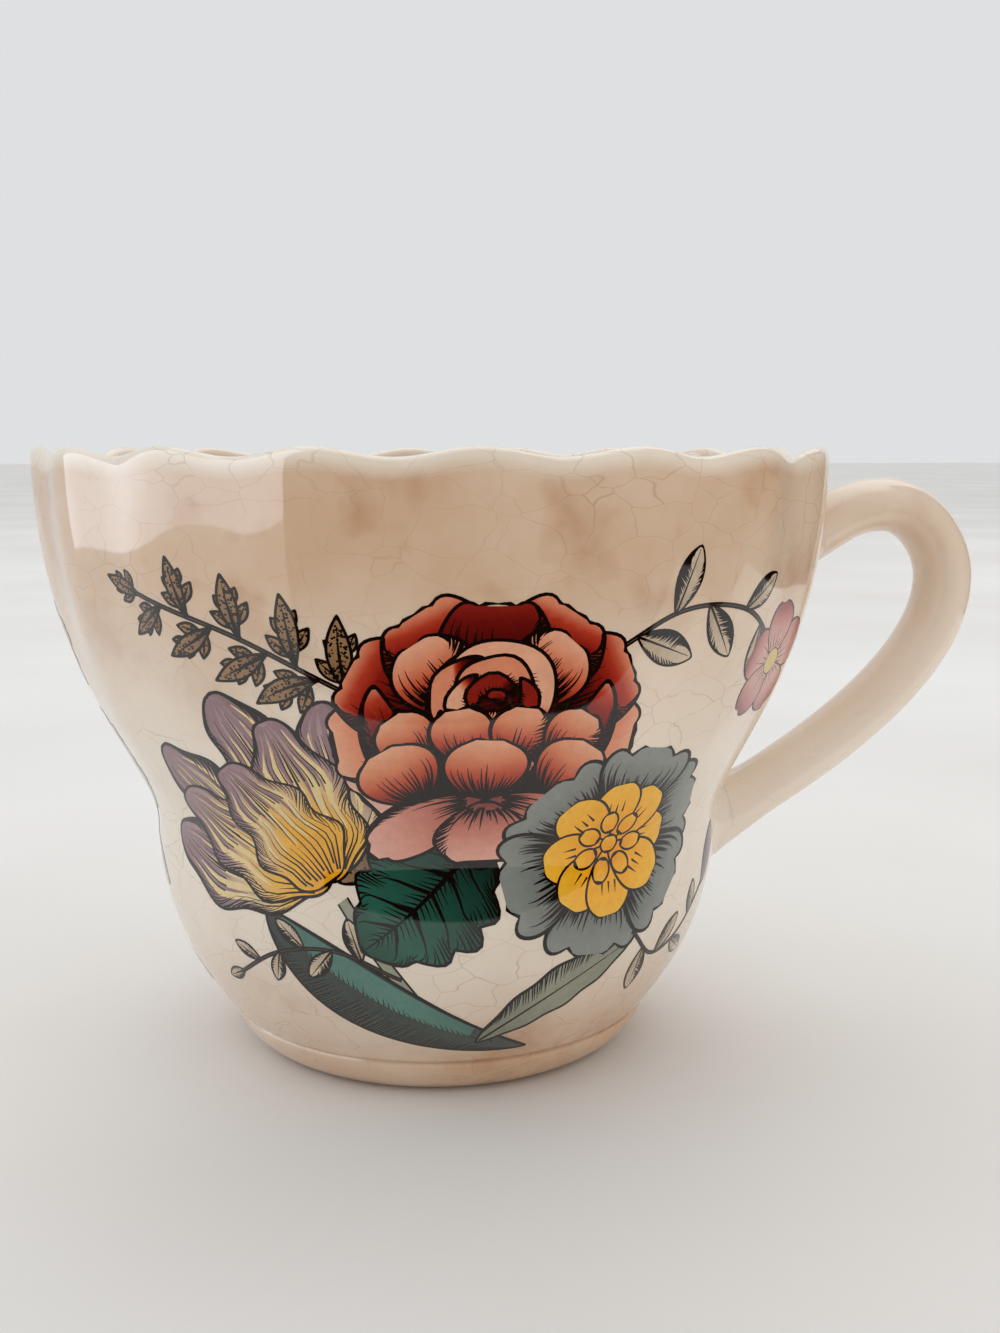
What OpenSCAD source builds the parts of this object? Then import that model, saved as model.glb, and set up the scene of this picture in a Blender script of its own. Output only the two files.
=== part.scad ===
// Fluted earthenware teacup with a scalloped rim, a turned foot ring and a luted loop handle.
// Origin: centre of the foot ring's base, on the bowl's axis. +Z is up, the handle is on +X,
// and the main print faces -Y.

/* [Cup] */
// Height from the table to the crests of the rim
cup_h = 73.5; // [66:0.5:90]
// Diameter of the rim over its crests
rim_d = 96; // [88:1:116]
// Diameter of the waist, where the bell turns into the belly
waist_d = 70; // [58:1:84]
// Height of the waist
waist_h = 28.6; // [23:0.2:35]
// Wall thickness of the bowl
wall_t = 2.6; // [2:0.1:4]
// Thickness of the rounded lip
lip_t = 2.2; // [1.6:0.1:3]
// Thickness of the floor above the foot's recess
floor_t = 3; // [2.4:0.1:5]

/* [Profile curves] */
// How far the bell stays upright above the waist
shoulder_pull = 7.3; // [5:0.1:10]
// How far the bell stays upright below the lip
side_pull = 26.4; // [20:0.2:30]
// How far the belly stays upright below the waist
belly_pull = 12.4; // [8:0.2:16]
// How far the belly swells out just above the foot
belly_out = 3.7; // [2:0.1:5]
// How far the belly climbs over that swell
belly_rise = 4.8; // [3:0.1:7]

/* [Flutes] */
// Number of flutes, each with one scallop at the rim
flutes = 18; // [12:1:24]
// Depth of a flute at the rim
flute_depth = 0.9; // [0.4:0.1:2]
// Drop of the rim from a crest to a dip
scallop_drop = 1.0; // [0.4:0.1:2]

/* [Foot ring] */
// Outer diameter of the flat base
foot_d = 44.4; // [38:0.2:54]
// Height of the foot ring
foot_h = 4.8; // [3:0.1:7]
// Radial width of the flat base
foot_base_w = 2.4; // [1.6:0.1:4]
// How far the ring flares out from its base to the bowl
foot_flare = 4.2; // [2:0.1:5]
// How far the ring's inner side steps out from the base to the bowl
foot_inner_slope = 0.8; // [0.2:0.1:1.5]
// Radius that rounds the two edges of the base
foot_edge_r = 0.5; // [0.2:0.1:0.8]

/* [Handle] */
// How far the handle stands out beyond the rim
handle_out = 21.8; // [18:0.2:30]
// Thickness of the handle across its loop
handle_t = 6.9; // [5:0.1:9]
// Width of the handle along the rim
handle_w = 9.6; // [7:0.1:13]
// Drop from the rim's crests to the top of the handle
handle_drop = 3.9; // [1:0.1:6]
// Drop from the rim's crests to the middle of the upper root
upper_root_drop = 12; // [10:0.1:15]
// Drop from the waist to the middle of the lower root
lower_root_drop = 3.4; // [1:0.1:6]
// Thickness of the handle at its upper root
upper_root_t = 8.6; // [7:0.1:11]
// Thickness of the handle at its lower root
lower_root_t = 11; // [8:0.1:13]
// Width of the handle at both roots
root_w = 12.4; // [9:0.1:15]

/* [Slip joints] */
// How far the fillet of slip spreads over the bowl
slip_spread = 1.6; // [0.8:0.1:2.5]
// How far it climbs the handle
slip_climb = 1.8; // [1:0.1:2.5]

/* [Transfer prints] */
// Thickness of a fired print with its film
print_t = 0.1; // [0.05:0.01:0.2]
// Lower edge of the prints above the foot ring
print_low = 1.6; // [1:0.1:5]
// Upper edge of the front print below the rim's crests
print_top = 9; // [8:0.5:18]
// Upper edge of the side and back prints below the rim's crests
spray_top = 16; // [12:0.5:24]
// Half the angle that the front print covers
front_print_angle = 63; // [50:1:66]
// Half the angle that the side and back prints cover
spray_print_angle = 24; // [14:1:24]

/* [Hidden] */

glaze_color = "#e6dccd";
handle_color = "#e3d5c8";
slip_color = "#ded0bf";
print_color = "#a8483c";
spray_color = "#6f7d78";

rim_r = rim_d / 2;
waist_r = waist_d / 2;
foot_r = foot_d / 2;
foot_top_r = foot_r + foot_flare;
steps_per_flute = 6;
columns = flutes * steps_per_flute;
column_angle = 360 / columns;
front_angle = 270;
side_angle = 180;
back_angle = 100;

// ---- curves ----

// A point on the cubic curve through p[0] and p[3]
function curve(p, t) =
    pow(1 - t, 3) * p[0] + 3 * pow(1 - t, 2) * t * p[1] + 3 * (1 - t) * t * t * p[2] + pow(t, 3) * p[3];

// Points along a cubic curve at count steps, without its last
function curve_points(p, count) = [for (i = [0:count - 1]) curve(p, i / count)];

// The share of a cubic curve that lies within a short distance of its start
function start_share(p, distance) = distance / (3 * norm(p[1] - p[0]));

function smooth_step(x) = let (c = min(1, max(0, x))) c * c * (3 - 2 * c);

function unit(v) = v / norm(v);

// ---- bowl profile, as [radius, height] ----

belly_curve = [[foot_top_r, foot_h], [foot_top_r + belly_out, foot_h + belly_rise],
               [waist_r, waist_h - belly_pull], [waist_r, waist_h]];
lip_z = cup_h - lip_t / 2;
bell_curve = [[waist_r, waist_h], [waist_r, waist_h + shoulder_pull],
              [rim_r, lip_z - side_pull], [rim_r, lip_z]];
belly_steps = 7;
bell_steps = 9;
outer_profile = concat(curve_points(belly_curve, belly_steps), curve_points(bell_curve, bell_steps),
                       [bell_curve[3]]);
outer_rows = len(outer_profile);

// The outward normal of a profile at point i
function profile_normal(p, i) =
    let (d = p[min(i + 1, len(p) - 1)] - p[max(i - 1, 0)]) unit([d[1], -d[0]]);

lip_steps = 3;
lip_profile = [for (i = [1:lip_steps]) let (a = 180 * i / (lip_steps + 1))
               [rim_r - lip_t / 2 + lip_t / 2 * cos(a), lip_z + lip_t / 2 * sin(a)]];

// The wall grows from the lip's thickness to its own over this share of the bell
lip_blend = 0.35;
function wall_at(z) =
    lip_t + (wall_t - lip_t) * smooth_step((lip_z - z) / (lip_blend * (lip_z - waist_h)));

// The inner wall follows the outer one down to floor_row, then a curve closes the floor
floor_row = 2;
inner_wall = [for (i = [outer_rows - 1:-1:floor_row])
              outer_profile[i] - wall_at(outer_profile[i][1]) * profile_normal(outer_profile, i)];
wall_end = inner_wall[len(inner_wall) - 1];
wall_end_dir = unit(wall_end - inner_wall[len(inner_wall) - 2]);
floor_z = foot_h + floor_t;
floor_turn = 0.7;      // how far down the wall's direction holds before it turns to the floor
floor_flat = 0.6;      // the share of the radius over which the floor comes level
min_wall_slope = 0.2;  // keeps the turn short where the wall leans far out
floor_pull = (wall_end[1] - floor_z) / max(min_wall_slope, -wall_end_dir[1]) * floor_turn;
floor_steps = 4;
floor_curve = [wall_end, wall_end + floor_pull * wall_end_dir,
               [wall_end[0] * floor_flat, floor_z], [0, floor_z]];
floor_profile = [for (i = [1:floor_steps - 1]) curve(floor_curve, i / floor_steps)];

bowl_profile = concat(outer_profile, lip_profile, inner_wall, floor_profile);

// ---- flutes ----

// 1 on a crest and 0 in a dip; the handle's axis is a dip
function crest(a) = (1 - cos(flutes * a)) / 2;

// Flutes fade in from the waist to the rim, the scallops only over the last quarter
function flute_fade(z) = smooth_step((z - waist_h) / (cup_h - waist_h));
scallop_share = 0.25;
function scallop_fade(z) = smooth_step(1 - (cup_h - z) / (scallop_share * cup_h));

// A profile point turned to angle a and fluted
function fluted(p, a) =
    let (r = p[0] - flute_depth * (1 - crest(a)) * flute_fade(p[1]),
         z = p[1] - scallop_drop * (1 - crest(a)) * scallop_fade(p[1]))
    [r * cos(a), r * sin(a), z];

// ---- closed meshes from rings of points ----

// Joins rings of the same length into a tube; closed at both ends by a point
function tube_faces(rings, n) = [for (i = [0:rings - 2], j = [0:n - 1], k = [0, 1])
    let (a = i * n + j, b = i * n + (j + 1) % n) k == 0 ? [a, b, a + n] : [b, b + n, a + n]];
function cap_faces(first, n, tip, flip) = [for (j = [0:n - 1])
    let (a = first + j, b = first + (j + 1) % n) flip ? [a, b, tip] : [b, a, tip]];

module ring_solid(rings, start_tip, end_tip) {
    n = len(rings[0]);
    count = len(rings);
    points = concat([for (ring = rings, p = ring) p], [start_tip, end_tip]);
    polyhedron(points, concat(tube_faces(count, n), cap_faces(0, n, count * n, false),
                              cap_faces((count - 1) * n, n, count * n + 1, true)));
}

module bowl() {
    rings = [for (p = bowl_profile) [for (j = [0:columns - 1]) fluted(p, -j * column_angle)]];
    color(glaze_color)
        ring_solid(rings, [0, 0, foot_h], [0, 0, floor_z]);
}

// ---- foot ring ----

foot_inner_r = foot_r - foot_base_w;
foot_spread = [0.55, 0.18];  // where the outside leaves the base, as shares of the flare and the height
foot_upright = [0.2, 0.62];  // where it turns up to the bowl: mm in from the top edge, and share of the height
foot_curve = [[foot_r, 0], [foot_r + foot_flare * foot_spread[0], foot_h * foot_spread[1]],
              [foot_top_r - foot_upright[0], foot_h * foot_upright[1]], [foot_top_r, foot_h]];
foot_steps = 8;
foot_facets = 96;
outer_edge_share = 0.4;  // the outer edge is rounded less than the inner one

module foot_ring() {
    outer = [for (i = [1:foot_steps]) curve(foot_curve, i / foot_steps)];
    outline = concat([[foot_inner_r + foot_edge_r, 0], [foot_r - foot_edge_r * outer_edge_share, 0]], outer,
                     [[foot_inner_r + foot_inner_slope, foot_h], [foot_inner_r, foot_edge_r]]);
    color(glaze_color)
        rotate_extrude($fn = foot_facets)
            polygon(outline);
}

// ---- handle ----

// Radius of the bowl's outside at a height, in the dip where the handle sits or beside it
outer_table = [for (p = outer_profile) [p[1], p[0]]];
function bowl_r(z, a) = lookup(z, outer_table) - flute_depth * (1 - crest(a)) * flute_fade(z);

upper_root_z = cup_h - upper_root_drop;
lower_root_z = waist_h - lower_root_drop;
upper_root = [bowl_r(upper_root_z, 0), upper_root_z];
lower_root = [bowl_r(lower_root_z, 0), lower_root_z];
side_x = rim_r + handle_out - handle_t / 2;
top_z = cup_h - handle_drop - handle_t / 2;
top_share = 0.57;   // how far out the highest point of the loop is
side_slope = 1.13;  // drop from there to the outermost point, for each mm further out
top_x = upper_root[0] + (side_x - upper_root[0]) * top_share;
side_z = top_z - (side_x - top_x) * side_slope;
loop_h = side_z - lower_root_z;
loop_w = side_x - lower_root[0];

// The middle line of the handle in the XZ plane: up and out, over the top, and down to the waist
leave_root = [4.2, 2.6];      // direction and pull of the line where it leaves the upper root
level_pull = 4.6;             // how long it runs level before its highest point
bend_pull = [0.55, 0.48];     // roundness of the bend, across and up
sweep_drop = 0.36;            // how long the line runs straight down
meet_root = [0.50, 0.27];     // how it comes in to the lower root, across and up
rise_curve = [upper_root, upper_root + leave_root, [top_x - level_pull, top_z], [top_x, top_z]];
bend_curve = [[top_x, top_z], [top_x + (side_x - top_x) * bend_pull[0], top_z],
              [side_x, side_z + (top_z - side_z) * bend_pull[1]], [side_x, side_z]];
sweep_curve = [[side_x, side_z], [side_x, side_z - loop_h * sweep_drop],
               lower_root + [loop_w * meet_root[0], loop_h * meet_root[1]], lower_root];
rise_steps = 7;
bend_steps = 7;
sweep_steps = 12;
handle_line = concat([upper_root, curve(rise_curve, start_share(rise_curve, slip_climb))],
                     [for (i = [2:rise_steps - 1]) curve(rise_curve, i / rise_steps)],
                     curve_points(bend_curve, bend_steps), curve_points(sweep_curve, sweep_steps),
                     [curve(sweep_curve, 1 - slip_climb / (3 * norm(lower_root - sweep_curve[2]))),
                      lower_root]);
handle_rows = len(handle_line);
handle_sides = 16;

// The strap swells towards each root
root_length = 9;
function row_length(i) = i == 0 ? 0 : row_length(i - 1) + norm(handle_line[i] - handle_line[i - 1]);
handle_length = row_length(handle_rows - 1);
function root_share(d) = pow(max(0, 1 - d / root_length), 2);
function section_t(d) = handle_t + (upper_root_t - handle_t) * root_share(d)
                        + (lower_root_t - handle_t) * root_share(handle_length - d);
function section_w(d) = handle_w + (root_w - handle_w) * (root_share(d) + root_share(handle_length - d));

// The section stands square to the line, and turns upright towards each root, as the bowl's wall does
upright_length = 8;
function section_normal(i, d) =
    let (left = min(d, handle_length - d), inward = d < handle_length / 2 ? [0, -1] : [0, 1],
         f = smooth_step(left / upright_length))
    unit(f * profile_normal(handle_line, i) + (1 - f) * inward);

// An oval section around row i
function section(i) =
    let (m = handle_line[i], d = row_length(i), n = section_normal(i, d))
    [for (k = [0:handle_sides - 1]) let (a = -360 * k / handle_sides,
         p = m + n * section_t(d) / 2 * cos(a))
     [p[0], section_w(d) / 2 * sin(a), p[1]]];

// A point moved along X onto the bowl, at a small depth below its surface
seat = 0.01;
function landed(p) =
    let (a = atan2(p[1], lookup(p[2], outer_table)), r = bowl_r(p[2], a) - seat)
    [sqrt(r * r - p[1] * p[1]), p[1], p[2]];
function landed_ring(ring) = [for (p = ring) landed(p)];

// Half the size of an end ring, landed too, so that the end follows the bowl's curve
function inner_ring(ring, root_z) = [for (p = ring) landed([0, p[1] / 2, (p[2] + root_z) / 2])];

upper_end = landed_ring(section(0));
lower_end = landed_ring(section(handle_rows - 1));
above_upper_end = section(1);
above_lower_end = section(handle_rows - 2);
handle_rings = concat([inner_ring(upper_end, upper_root_z), upper_end, above_upper_end],
                      [for (i = [2:handle_rows - 3]) section(i)],
                      [above_lower_end, lower_end, inner_ring(lower_end, lower_root_z)]);

module handle() {
    color(handle_color)
        ring_solid(handle_rings, landed([upper_root[0], 0, upper_root_z]),
                   landed([lower_root[0], 0, lower_root_z]));
}

// ---- slip joints: a hollow-faced fillet round each root, from the handle out to the bowl ----

function ring_middle(ring) = [for (p = ring) 1] * ring / len(ring);

slip_hollow = 0.3;  // how far the fillet's face sinks towards the corner that it fills

// The end ring grown by g across the bowl and landed on it again
function spread_ring(ring, g) = let (m = ring_middle(ring))
    [for (p = ring) let (v = unit([p[1] - m[1], p[2] - m[2]]))
     landed([0, p[1] + g * v[0], p[2] + g * v[1]])];

module slip_joint(end_ring, next_ring) {
    n = len(end_ring);
    wide = spread_ring(end_ring, slip_spread);
    sunk = [for (j = [0:n - 1])
            (wide[j] + next_ring[j]) / 2 * (1 - slip_hollow) + end_ring[j] * slip_hollow];
    rings = [end_ring, next_ring, sunk, wide];
    count = len(rings);
    faces = [for (i = [0:count - 1], j = [0:n - 1], k = [0, 1])
        let (a = i * n + j, b = i * n + (j + 1) % n, c = ((i + 1) % count) * n + j,
             d = ((i + 1) % count) * n + (j + 1) % n) k == 0 ? [a, c, b] : [b, c, d]];
    polyhedron([for (ring = rings, p = ring) p], faces);
}

module upper_slip_joint() {
    color(slip_color)
        slip_joint(upper_end, above_upper_end);
}

// The lower end faces the other way along the handle, so its rings run backwards
function backwards(ring) = [for (k = [len(ring) - 1:-1:0]) ring[k]];

module lower_slip_joint() {
    color(slip_color)
        slip_joint(backwards(lower_end), backwards(above_lower_end));
}

// ---- transfer prints: thin skins that share the bowl's own facets ----

// Rows of the outer profile between two heights, and columns within half_angle of an angle
function rows_between(low, high) = [for (i = [0:outer_rows - 1])
    if (outer_profile[i][1] >= low && outer_profile[i][1] <= high) i];
function columns_about(middle, half_angle) =
    [for (j = [ceil((middle - half_angle) / column_angle):floor((middle + half_angle) / column_angle)]) j];

module print_skin(middle, half_angle, top_drop) {
    rows = rows_between(foot_h + print_low, cup_h - top_drop);
    cols = columns_about(middle, half_angle);
    n = len(cols);
    m = len(rows);
    size = n * m;
    under = [for (i = rows, j = cols) fluted(outer_profile[i], j * column_angle)];
    over = [for (i = rows, j = cols)
            fluted(outer_profile[i] + print_t * profile_normal(outer_profile, i), j * column_angle)];
    edge = concat([for (j = [0:n - 1]) j], [for (i = [1:m - 1]) i * n + n - 1],
                  [for (j = [n - 2:-1:0]) (m - 1) * n + j], [for (i = [m - 2:-1:1]) i * n]);
    // The diagonals run as they do on the bowl
    skin = [for (i = [0:m - 2], j = [0:n - 2], k = [0, 1]) let (a = i * n + j)
            k == 0 ? [a, a + 1, a + n + 1] : [a, a + n + 1, a + n]];
    walls = [for (e = [0:len(edge) - 1], k = [0, 1]) let (a = edge[e], b = edge[(e + 1) % len(edge)])
             k == 0 ? [a, b, b + size] : [a, b + size, a + size]];
    polyhedron(concat(under, over), concat(skin, [for (f = skin) [f[0] + size, f[2] + size, f[1] + size]],
                                           [for (f = walls) [f[0], f[2], f[1]]]));
}

module front_bouquet_print() {
    color(print_color)
        print_skin(front_angle, front_print_angle, print_top);
}

module side_spray_print() {
    color(spray_color)
        print_skin(side_angle, spray_print_angle, spray_top);
}

module back_spray_print() {
    color(spray_color)
        print_skin(back_angle, spray_print_angle, spray_top);
}

bowl();
foot_ring();
handle();
upper_slip_joint();
lower_slip_joint();
front_bouquet_print();
side_spray_print();
back_spray_print();
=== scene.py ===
import bisect
import random
from math import atan2, ceil, cos, degrees, exp, hypot, pi, radians, sin, sqrt, tau

import bmesh
import bpy
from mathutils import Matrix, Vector
from mathutils.geometry import delaunay_2d_cdt


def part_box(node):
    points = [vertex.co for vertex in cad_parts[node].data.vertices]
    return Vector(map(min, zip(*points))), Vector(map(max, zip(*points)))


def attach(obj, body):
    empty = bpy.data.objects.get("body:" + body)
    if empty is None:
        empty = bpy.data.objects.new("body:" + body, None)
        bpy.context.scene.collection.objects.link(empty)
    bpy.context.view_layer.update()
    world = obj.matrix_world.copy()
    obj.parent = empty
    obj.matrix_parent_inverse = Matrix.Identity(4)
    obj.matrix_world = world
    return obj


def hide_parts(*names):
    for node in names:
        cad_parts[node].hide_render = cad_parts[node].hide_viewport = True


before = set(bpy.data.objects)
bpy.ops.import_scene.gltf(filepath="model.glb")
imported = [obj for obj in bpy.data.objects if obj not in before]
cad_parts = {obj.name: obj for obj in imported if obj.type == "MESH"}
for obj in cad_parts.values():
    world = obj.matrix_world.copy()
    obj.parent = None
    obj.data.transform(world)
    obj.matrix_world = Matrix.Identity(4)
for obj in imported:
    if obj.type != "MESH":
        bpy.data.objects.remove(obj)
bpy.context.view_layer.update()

mm = 0.001

# ------- camera, at the height of the rim and looking a little down

cameraView = {
    "azimuth": -5.0,      # degrees round the cup from the front
    "distance": 0.1834,   # from the cup's axis
    "pitch": 8.4,         # degrees down
    "pan": 2.445,         # degrees to the right of the axis
    "lens": 39.56,
    "belowRim": 0.0004,
}


def addCamera(view):
    data = bpy.data.cameras.new("camera")
    data.lens = view["lens"]
    data.clip_start = 0.005
    camera = bpy.data.objects.new("camera", data)
    turn = radians(view["azimuth"])
    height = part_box("bowl")[1][2] - view["belowRim"]
    camera.location = (sin(turn) * view["distance"], -cos(turn) * view["distance"], height)
    camera.rotation_euler = (radians(90 - view["pitch"]), 0, radians(view["azimuth"] - view["pan"]))
    bpy.context.collection.objects.link(camera)
    bpy.context.scene.camera = camera


addCamera(cameraView)
print("camera placed")

# ------- materials

glazeLook = {
    "ivory": "#f0e4d4",
    "shade": "#e3d5c3",
    "stain": "#d0ab88",
    "spot": "#a8622c",
    "crack": "#a9825f",
    "crazing": 0.5,
    "cellSize": 0.0062,    # width of a craze cell
    "crackWidth": 0.00006,
    "cellStretch": 1.7, "cellBend": 0.004, "bendScale": 160.0, "patchScale": 55.0,
    # scale, detail and roughness of each uneven layer
    "cloud": (45.0, 4.0, 0.6), "soak": (30.0, 5.0, 0.65), "blotch": (95.0, 3.0, 0.55), "ripple": (110.0, 2.0, 0.5),
    "rippleDepth": 0.0002,
    "rimStain": (0.040, 0.060),     # heights where the stain begins and is full
    "footStain": (0.018, 0.004),
    "stained": 0.85,
    "roughness": 0.06, "ior": 1.6,
    "softness": 0.12, "softDepth": 0.0012,
}
handleLook = {**glazeLook, "ivory": "#f3e5d6", "shade": "#ecdbc8", "crazing": 0.12, "stained": 0.3}


def linear(hexColour, alpha=1.0):
    out = []
    for i in (1, 3, 5):
        c = int(hexColour[i:i + 2], 16) / 255
        out.append(c / 12.92 if c <= 0.04045 else ((c + 0.055) / 1.055) ** 2.4)
    return (*out, alpha)


def node(tree, kind, values=None, stops=(), **settings):
    made = tree.nodes.new("ShaderNode" + kind)
    for name, value in settings.items():
        setattr(made, name, value)
    for key, value in (values or {}).items():
        socket = made.inputs[key]
        if isinstance(value, bpy.types.NodeSocket):
            tree.links.new(value, socket)
        else:
            socket.default_value = value
    if stops:  # the places and greys of a ramp's two ends
        for element, (place, grey) in zip(made.color_ramp.elements, stops):
            element.position = place
            element.color = (grey, grey, grey, 1)
    return made


def newMaterial(name, values):
    material = bpy.data.materials.new(name)
    material.use_nodes = True
    tree = material.node_tree
    tree.nodes.clear()
    shader = node(tree, "BsdfPrincipled", values)
    node(tree, "OutputMaterial", {"Surface": shader.outputs[0]})
    return material, tree, shader


def crazeLines(tree, place, look, strength):  # fine stained cracks round cells of glaze, wider than they are high
    place = node(tree, "VectorMath", {0: place, 1: (1.0, 1.0, look["cellStretch"])},
                 operation="MULTIPLY").outputs[0]
    bend = node(tree, "TexNoise", {"Vector": place, "Scale": look["bendScale"], "Detail": 2.0}).outputs["Color"]
    bent = node(tree, "Mix", {0: look["cellBend"], 4: place, 5: bend}, data_type="VECTOR").outputs[1]
    cells = node(tree, "TexVoronoi", {"Vector": bent, "Scale": 1 / look["cellSize"]}, feature="DISTANCE_TO_EDGE")
    crack = look["crackWidth"] / look["cellSize"] * 1.6
    line = node(tree, "ValToRGB", {"Fac": cells.outputs["Distance"]}, [(0.0, 1.0), (crack, 0.0)])
    patch = node(tree, "TexNoise", {"Vector": place, "Scale": look["patchScale"], "Detail": 2.0}).outputs["Fac"]
    shown = node(tree, "ValToRGB", {"Fac": patch}, [(0.35, 0.1 * strength), (0.65, strength)])
    return node(tree, "Math", {0: line.outputs[0], 1: shown.outputs[0]}, operation="MULTIPLY").outputs[0]


# Lead-free gloss glaze over cream earthenware: glassy, crazed, and stained warm by tea along the crazing
def glazeMaterial(name, look):
    material, tree, shader = newMaterial(name, {
        "Roughness": look["roughness"], "IOR": look["ior"], "Subsurface Weight": look["softness"],
        "Subsurface Radius": (1.0, 0.7, 0.45), "Subsurface Scale": look["softDepth"],
    })
    place = node(tree, "TexCoord").outputs["Object"]
    noise = {}
    for layer in ("cloud", "soak", "blotch", "ripple"):
        scale, detail, roughness = look[layer]
        noise[layer] = node(tree, "TexNoise", {"Vector": place, "Scale": scale, "Detail": detail,
                                               "Roughness": roughness}).outputs["Fac"]
    cloud = node(tree, "ValToRGB", {"Fac": noise["cloud"]}, [(0.35, 0.0), (0.7, 1.0)])
    # Tea has soaked in through the crazing near the rim and round the foot
    height = node(tree, "SeparateXYZ", {0: place}).outputs[2]
    begins, full = look["rimStain"]
    band = node(tree, "MapRange", {"Value": height, "From Min": begins, "From Max": full})
    begins, full = look["footStain"]
    foot = node(tree, "MapRange", {"Value": height, "From Min": begins, "From Max": full, "To Max": 1.15})
    both = node(tree, "Math", {0: band.outputs[0], 1: foot.outputs[0]}, operation="MAXIMUM")
    patch = node(tree, "ValToRGB", {"Fac": noise["soak"]}, [(0.3, 0.35), (0.65, 1.0)])
    soaked = node(tree, "Math", {0: both.outputs[0], 1: patch.outputs[0]}, operation="MULTIPLY")
    lipZone = node(tree, "Attribute", attribute_name="lip").outputs["Fac"]  # tea runs off the lip itself
    lip = node(tree, "MapRange", {"Value": lipZone, "To Min": look["stained"], "To Max": 0.0})
    stain = node(tree, "Math", {0: soaked.outputs[0], 1: lip.outputs[0]}, operation="MULTIPLY").outputs[0]
    blotch = node(tree, "ValToRGB", {"Fac": noise["blotch"]}, [(0.53, 0.0), (0.72, 0.6)])
    spots = node(tree, "Math", {0: blotch.outputs[0], 1: stain}, operation="MULTIPLY")
    base = linear(look["ivory"])
    for share, colour in ((cloud.outputs[0], "shade"), (stain, "stain"), (spots.outputs[0], "spot"),
                          (crazeLines(tree, place, look, look["crazing"]), "crack")):
        base = node(tree, "Mix", {0: share, 6: base, 7: linear(look[colour])}, data_type="RGBA").outputs[2]
    tree.links.new(base, shader.inputs["Base Color"])
    # The glaze lies a little uneven, as it ran in the kiln
    bump = node(tree, "Bump", {"Height": noise["ripple"], "Strength": 0.25, "Distance": look["rippleDepth"]})
    tree.links.new(bump.outputs[0], shader.inputs["Normal"])
    return material


bowlGlaze = glazeMaterial("crazedEarthenwareGlaze", glazeLook)
handleGlaze = glazeMaterial("plainEarthenwareGlaze", handleLook)
print("glazes made")

# ------- the bowl's surface, in millimetres, as it was designed

bowlShape = {
    "waistRadius": 35.0, "waistHeight": 28.6,
    "shoulderPull": 7.3, "sidePull": 26.4, "bellyPull": 12.4,
    "bellyOut": 3.7, "bellyRise": 4.8,
    "lipThickness": 2.2, "wallThickness": 2.6, "floorThickness": 3.0,
    "thinShare": 0.35,     # how much of the bell's height the wall takes to thin towards the lip
    "cornerRise": 2.4, "cornerPull": 0.7,   # the inside's round corner above the floor
    "lipZone": 0.5, "lipFade": 0.7,
    "flutes": 18, "fluteDepth": 0.9, "scallopDrop": 1.0, "scallopShare": 0.25,
    "steps": 360,
}
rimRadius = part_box("bowl")[1][1] / mm
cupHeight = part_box("bowl")[1][2] / mm
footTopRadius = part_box("foot_ring")[1][0] / mm
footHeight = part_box("foot_ring")[1][2] / mm
lipHeight = cupHeight - bowlShape["lipThickness"] / 2


def curvePoint(p, t):
    s = 1 - t
    return p[0] * s ** 3 + p[1] * (3 * s * s * t) + p[2] * (3 * s * t * t) + p[3] * t ** 3


def curvePoints(p, count, last=True):
    return [curvePoint([Vector(q) for q in p], i / count) for i in range(count + (1 if last else 0))]


def outerProfile(shape):
    belly = [(footTopRadius, footHeight),
             (footTopRadius + shape["bellyOut"], footHeight + shape["bellyRise"]),
             (shape["waistRadius"], shape["waistHeight"] - shape["bellyPull"]),
             (shape["waistRadius"], shape["waistHeight"])]
    bell = [(shape["waistRadius"], shape["waistHeight"]),
            (shape["waistRadius"], shape["waistHeight"] + shape["shoulderPull"]),
            (rimRadius, lipHeight - shape["sidePull"]), (rimRadius, lipHeight)]
    return curvePoints(belly, 36, last=False) + curvePoints(bell, 64)


outerLine = outerProfile(bowlShape)
outerHeights = [p.y for p in outerLine]
outerArc = [0.0]
for before, after in zip(outerLine, outerLine[1:]):
    outerArc.append(outerArc[-1] + (after - before).length)


def lineNormal(line, i):
    d = line[min(i + 1, len(line) - 1)] - line[max(i - 1, 0)]
    return Vector((d.y, -d.x)).normalized()


outerNormals = [lineNormal(outerLine, i) for i in range(len(outerLine))]


def smoothStep(x):
    c = min(1.0, max(0.0, x))
    return c * c * (3 - 2 * c)


def crest(angle):  # 1 on a crest and 0 in a dip, for an angle in radians from the front
    return (1 + cos(bowlShape["flutes"] * angle)) / 2


def fluteFade(z):
    return smoothStep((z - bowlShape["waistHeight"]) / (cupHeight - bowlShape["waistHeight"]))


def scallopFade(z):
    return smoothStep(1 - (cupHeight - z) / (bowlShape["scallopShare"] * cupHeight))


def fluted(radius, z, angle):
    hollow = 1 - crest(angle)
    r = radius - bowlShape["fluteDepth"] * hollow * fluteFade(z)
    return Vector((r * sin(angle), -r * cos(angle), z - bowlShape["scallopDrop"] * hollow * scallopFade(z)))


def alongArc(arc):  # radius, height and normal at a distance up the outside from the foot
    arc = min(max(arc, 0.0), outerArc[-1] - 1e-6)
    i = bisect.bisect_right(outerArc, arc) - 1
    t = (arc - outerArc[i]) / (outerArc[i + 1] - outerArc[i])
    p = outerLine[i].lerp(outerLine[i + 1], t)
    n = outerNormals[i].lerp(outerNormals[i + 1], t)
    return p.x, p.y, n


def arcAt(z):
    i = min(max(bisect.bisect_right(outerHeights, z) - 1, 0), len(outerLine) - 2)
    t = (z - outerHeights[i]) / (outerHeights[i + 1] - outerHeights[i])
    return outerArc[i] + t * (outerArc[i + 1] - outerArc[i])


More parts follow.
